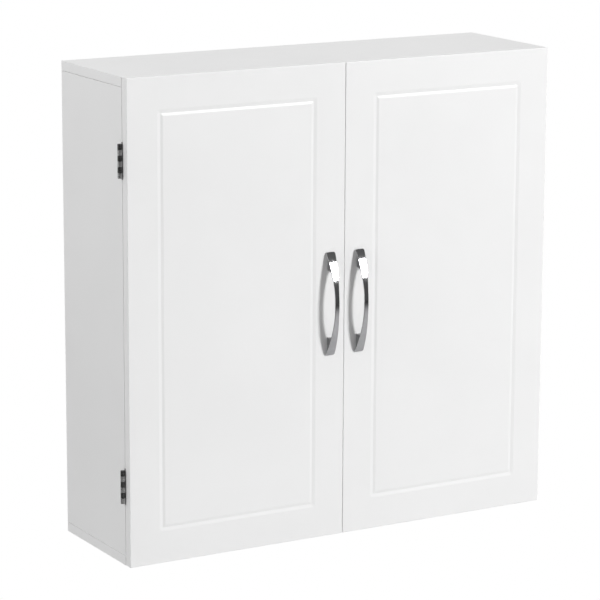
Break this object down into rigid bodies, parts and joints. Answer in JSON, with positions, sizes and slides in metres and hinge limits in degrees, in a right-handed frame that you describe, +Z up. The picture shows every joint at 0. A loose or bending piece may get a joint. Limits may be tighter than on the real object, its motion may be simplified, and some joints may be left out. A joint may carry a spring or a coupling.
{
  "type": "wall cabinet",
  "caption": "White wall cabinet with a hinged pair of groove-framed doors, bow handles, an inner shelf, a magnetic catch and a back rail with keyhole plates.",
  "frame": {"origin": "middle of the hanging rail's rear face, which bears on the wall", "axes": "+Z up, +Y into the wall, +X along the wall to the right of someone who faces the doors; the doors face -Y"},
  "size_m": [0.6116, 0.1968, 0.6],
  "materials": {
    "painted_board": "white satin lacquer on fibreboard",
    "back_sheet": "white faced hardboard",
    "handle_metal": "dark polished nickel",
    "hinge_steel": "dark plated steel",
    "zinc_steel": "zinc plated steel",
    "catch_plastic": "white moulded plastic"
  },
  "bodies": {
    "cabinet": {"top_panel": "painted_board", "bottom_panel": "painted_board", "left_side_panel": "painted_board", "right_side_panel": "painted_board", "back_panel": "back_sheet", "hanging_rail": "painted_board", "shelf": "painted_board", "shelf_support_rear_left": "zinc_steel", "shelf_support_front_left": "zinc_steel", "shelf_support_rear_right": "zinc_steel", "shelf_support_front_right": "zinc_steel", "hanging_plate_left": "zinc_steel", "hanging_plate_right": "zinc_steel", "catch_housing": "catch_plastic", "catch_screw_left": "zinc_steel", "catch_screw_right": "zinc_steel", "hanging_plate_screw_left_a": "zinc_steel", "hanging_plate_screw_left_b": "zinc_steel", "hanging_plate_screw_right_a": "zinc_steel", "hanging_plate_screw_right_b": "zinc_steel", "left_upper_hinge_frame_leaf": "hinge_steel", "left_upper_hinge_pin": "hinge_steel", "left_upper_hinge_frame_screw_top": "hinge_steel", "left_upper_hinge_frame_screw_bottom": "hinge_steel", "left_lower_hinge_frame_leaf": "hinge_steel", "left_lower_hinge_pin": "hinge_steel", "left_lower_hinge_frame_screw_top": "hinge_steel", "left_lower_hinge_frame_screw_bottom": "hinge_steel", "right_upper_hinge_frame_leaf": "hinge_steel", "right_upper_hinge_pin": "hinge_steel", "right_upper_hinge_frame_screw_top": "hinge_steel", "right_upper_hinge_frame_screw_bottom": "hinge_steel", "right_lower_hinge_frame_leaf": "hinge_steel", "right_lower_hinge_pin": "hinge_steel", "right_lower_hinge_frame_screw_top": "hinge_steel", "right_lower_hinge_frame_screw_bottom": "hinge_steel"},
    "left_door": {"left_door": "painted_board", "left_handle": "handle_metal", "left_handle_screw_top": "zinc_steel", "left_handle_screw_bottom": "zinc_steel", "left_striker_plate": "zinc_steel", "left_striker_screw": "zinc_steel", "left_upper_hinge_door_leaf": "hinge_steel", "left_upper_hinge_door_screw_top": "hinge_steel", "left_upper_hinge_door_screw_bottom": "hinge_steel", "left_lower_hinge_door_leaf": "hinge_steel", "left_lower_hinge_door_screw_top": "hinge_steel", "left_lower_hinge_door_screw_bottom": "hinge_steel"},
    "right_door": {"right_door": "painted_board", "right_handle": "handle_metal", "right_handle_screw_top": "zinc_steel", "right_handle_screw_bottom": "zinc_steel", "right_striker_plate": "zinc_steel", "right_striker_screw": "zinc_steel", "right_upper_hinge_door_leaf": "hinge_steel", "right_upper_hinge_door_screw_top": "hinge_steel", "right_upper_hinge_door_screw_bottom": "hinge_steel", "right_lower_hinge_door_leaf": "hinge_steel", "right_lower_hinge_door_screw_top": "hinge_steel", "right_lower_hinge_door_screw_bottom": "hinge_steel"}
  },
  "joints": [
    {"name": "left_door_hinge", "type": "hinge", "parent": "cabinet", "child": "left_door", "pos_m": [-0.303, -0.1648, -0.2577], "axis": [0, 0, -1], "range_deg": [0, 180]},
    {"name": "right_door_hinge", "type": "hinge", "parent": "cabinet", "child": "right_door", "pos_m": [0.303, -0.1648, -0.2577], "axis": [0, 0, 1], "range_deg": [0, 180]}
  ]
}
